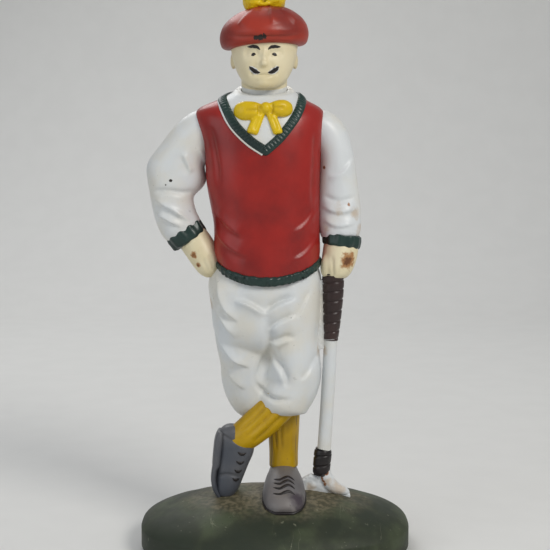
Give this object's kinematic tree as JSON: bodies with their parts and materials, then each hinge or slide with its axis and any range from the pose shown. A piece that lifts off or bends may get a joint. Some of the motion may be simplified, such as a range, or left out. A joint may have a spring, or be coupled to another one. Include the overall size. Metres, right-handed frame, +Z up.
{
  "type": "mechanical coin bank",
  "caption": "Painted cast-iron golfer bank on an oval domed base: coins drop in behind the shoulders, and a thumb lever at the rear makes the head nod.",
  "frame": {"origin": "middle of the base plate's underside, on the surface that the bank stands on", "axes": "+Z up through the figure; the figure faces -Y, so +X is on the viewer's right"},
  "size_m": [0.164, 0.133, 0.34],
  "materials": {
    "white_enamel": "aged white enamel, semi-gloss",
    "red_enamel": "red enamel, semi-gloss",
    "yellow_enamel": "yellow enamel, semi-gloss",
    "flesh_enamel": "cream enamel, semi-gloss",
    "green_enamel": "dark green enamel, dusty and matt",
    "bare_iron": "bare dark iron",
    "steel": "plain steel"
  },
  "bodies": {
    "bank": {"base_dome": "green_enamel", "base_plate": "bare_iron", "base_screw_1": "steel", "base_screw_2": "steel", "base_screw_3": "steel", "base_screw_4": "steel", "figure_front": "white_enamel", "figure_back": "white_enamel", "body_screw_upper": "steel", "body_screw_lower": "steel", "foot_screw_standing": "steel", "foot_screw_crossed": "steel", "neck_pin": "steel", "lever_pin": "steel", "return_spring": "steel"},
    "thumb_lever": {"lever": "bare_iron"},
    "lift_rod": {"push_rod": "steel"},
    "nodding_head": {"head": "flesh_enamel", "cap": "red_enamel", "pompon": "yellow_enamel", "cap_stud": "steel"}
  },
  "joints": [
    {"name": "lever_press", "type": "hinge", "parent": "bank", "child": "thumb_lever", "pos_m": [0.0054, 0.02, 0.011], "axis": [-1, 0, 0], "range_deg": [0, 4.5], "stiffness_Nm_per_rad": 2, "springref_deg": -5.73, "deforming": ["return_spring"]},
    {"name": "rod_lift", "type": "slide", "parent": "bank", "child": "lift_rod", "axis": [0, 0, 1], "range_m": [0, 0.00095]},
    {"name": "head_nod", "type": "hinge", "parent": "bank", "child": "nodding_head", "pos_m": [-0.0064, 0, 0.267], "axis": [1, 0, 0], "range_deg": [0, 8.01]}
  ],
  "couplings": [
    {"joint": "rod_lift", "follows": "lever_press", "m_per_rad": 0.012},
    {"joint": "head_nod", "follows": "lever_press", "ratio": 1.7778}
  ]
}
